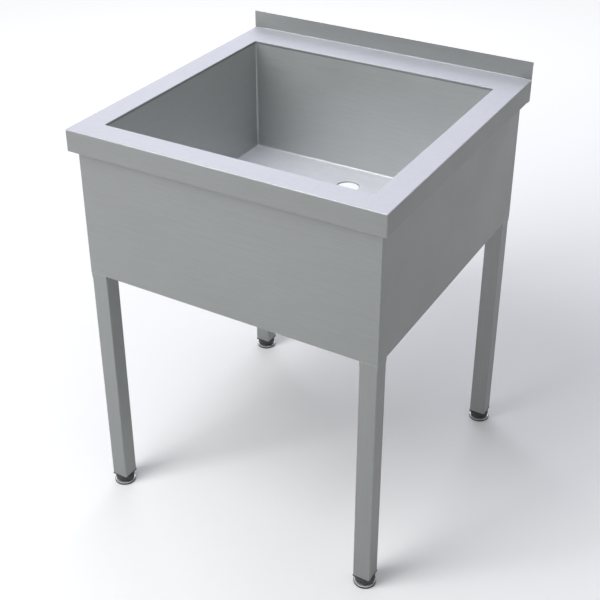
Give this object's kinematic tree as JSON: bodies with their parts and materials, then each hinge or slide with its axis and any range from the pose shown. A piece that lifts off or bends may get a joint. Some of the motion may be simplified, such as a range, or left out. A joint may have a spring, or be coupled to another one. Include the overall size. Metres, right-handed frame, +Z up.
{
  "type": "utility sink",
  "caption": "Free-standing square steel utility sink with a deep box bowl, bare drain hole, thin rear upstand, side aprons and square legs on round levelling feet.",
  "frame": {"origin": "on the floor under the centre of the worktop", "axes": "+Z up, +Y towards the wall behind the sink, +X to the right as seen from the front"},
  "size_m": [0.7, 0.7, 0.94],
  "materials": {
    "worktop_steel": "satin ground stainless sheet",
    "bowl_steel": "satin stainless sheet with ground corner welds",
    "apron_steel": "satin stainless sheet",
    "leg_steel": "satin stainless tube, ground along its length",
    "disc_steel": "pressed stainless disc",
    "zinc_steel": "zinc-plated threaded steel",
    "black_plastic": "moulded glass-filled nylon",
    "rubber": "moulded rubber"
  },
  "bodies": {
    "frame": {"worktop": "worktop_steel", "rear_rail": "worktop_steel", "bowl": "bowl_steel", "front_apron": "apron_steel", "right_apron": "apron_steel", "rear_apron": "apron_steel", "left_apron": "apron_steel", "front_left_leg": "leg_steel", "front_left_leg_cap": "leg_steel", "front_left_leg_insert": "black_plastic", "front_left_threaded_bush": "zinc_steel", "front_right_leg": "leg_steel", "front_right_leg_cap": "leg_steel", "front_right_leg_insert": "black_plastic", "front_right_threaded_bush": "zinc_steel", "rear_right_leg": "leg_steel", "rear_right_leg_cap": "leg_steel", "rear_right_leg_insert": "black_plastic", "rear_right_threaded_bush": "zinc_steel", "rear_left_leg": "leg_steel", "rear_left_leg_cap": "leg_steel", "rear_left_leg_insert": "black_plastic", "rear_left_threaded_bush": "zinc_steel"},
    "front_left_foot_base": {"front_left_foot_disc": "disc_steel", "front_left_foot_pad": "rubber"},
    "front_left_foot_screw": {"front_left_foot_spindle": "zinc_steel", "front_left_foot_grip": "black_plastic"},
    "front_right_foot_base": {"front_right_foot_disc": "disc_steel", "front_right_foot_pad": "rubber"},
    "front_right_foot_screw": {"front_right_foot_spindle": "zinc_steel", "front_right_foot_grip": "black_plastic"},
    "rear_right_foot_base": {"rear_right_foot_disc": "disc_steel", "rear_right_foot_pad": "rubber"},
    "rear_right_foot_screw": {"rear_right_foot_spindle": "zinc_steel", "rear_right_foot_grip": "black_plastic"},
    "rear_left_foot_base": {"rear_left_foot_disc": "disc_steel", "rear_left_foot_pad": "rubber"},
    "rear_left_foot_screw": {"rear_left_foot_spindle": "zinc_steel", "rear_left_foot_grip": "black_plastic"}
  },
  "joints": [
    {"name": "front_left_foot_height", "type": "slide", "parent": "frame", "child": "front_left_foot_base", "axis": [0, 0, -1], "range_m": [0, 0.03]},
    {"name": "front_left_foot_turn", "type": "hinge", "parent": "front_left_foot_base", "child": "front_left_foot_screw", "pos_m": [-0.315, -0.315, 0.014], "axis": [0, 0, -1], "range_deg": [0, 7200]},
    {"name": "front_right_foot_height", "type": "slide", "parent": "frame", "child": "front_right_foot_base", "axis": [0, 0, -1], "range_m": [0, 0.03]},
    {"name": "front_right_foot_turn", "type": "hinge", "parent": "front_right_foot_base", "child": "front_right_foot_screw", "pos_m": [0.315, -0.315, 0.014], "axis": [0, 0, -1], "range_deg": [0, 7200]},
    {"name": "rear_right_foot_height", "type": "slide", "parent": "frame", "child": "rear_right_foot_base", "axis": [0, 0, -1], "range_m": [0, 0.03]},
    {"name": "rear_right_foot_turn", "type": "hinge", "parent": "rear_right_foot_base", "child": "rear_right_foot_screw", "pos_m": [0.315, 0.315, 0.014], "axis": [0, 0, -1], "range_deg": [0, 7200]},
    {"name": "rear_left_foot_height", "type": "slide", "parent": "frame", "child": "rear_left_foot_base", "axis": [0, 0, -1], "range_m": [0, 0.03]},
    {"name": "rear_left_foot_turn", "type": "hinge", "parent": "rear_left_foot_base", "child": "rear_left_foot_screw", "pos_m": [-0.315, 0.315, 0.014], "axis": [0, 0, -1], "range_deg": [0, 7200]}
  ],
  "couplings": [
    {"joint": "front_left_foot_height", "follows": "front_left_foot_turn", "m_per_rad": 0.00023873},
    {"joint": "front_right_foot_height", "follows": "front_right_foot_turn", "m_per_rad": 0.00023873},
    {"joint": "rear_right_foot_height", "follows": "rear_right_foot_turn", "m_per_rad": 0.00023873},
    {"joint": "rear_left_foot_height", "follows": "rear_left_foot_turn", "m_per_rad": 0.00023873}
  ]
}
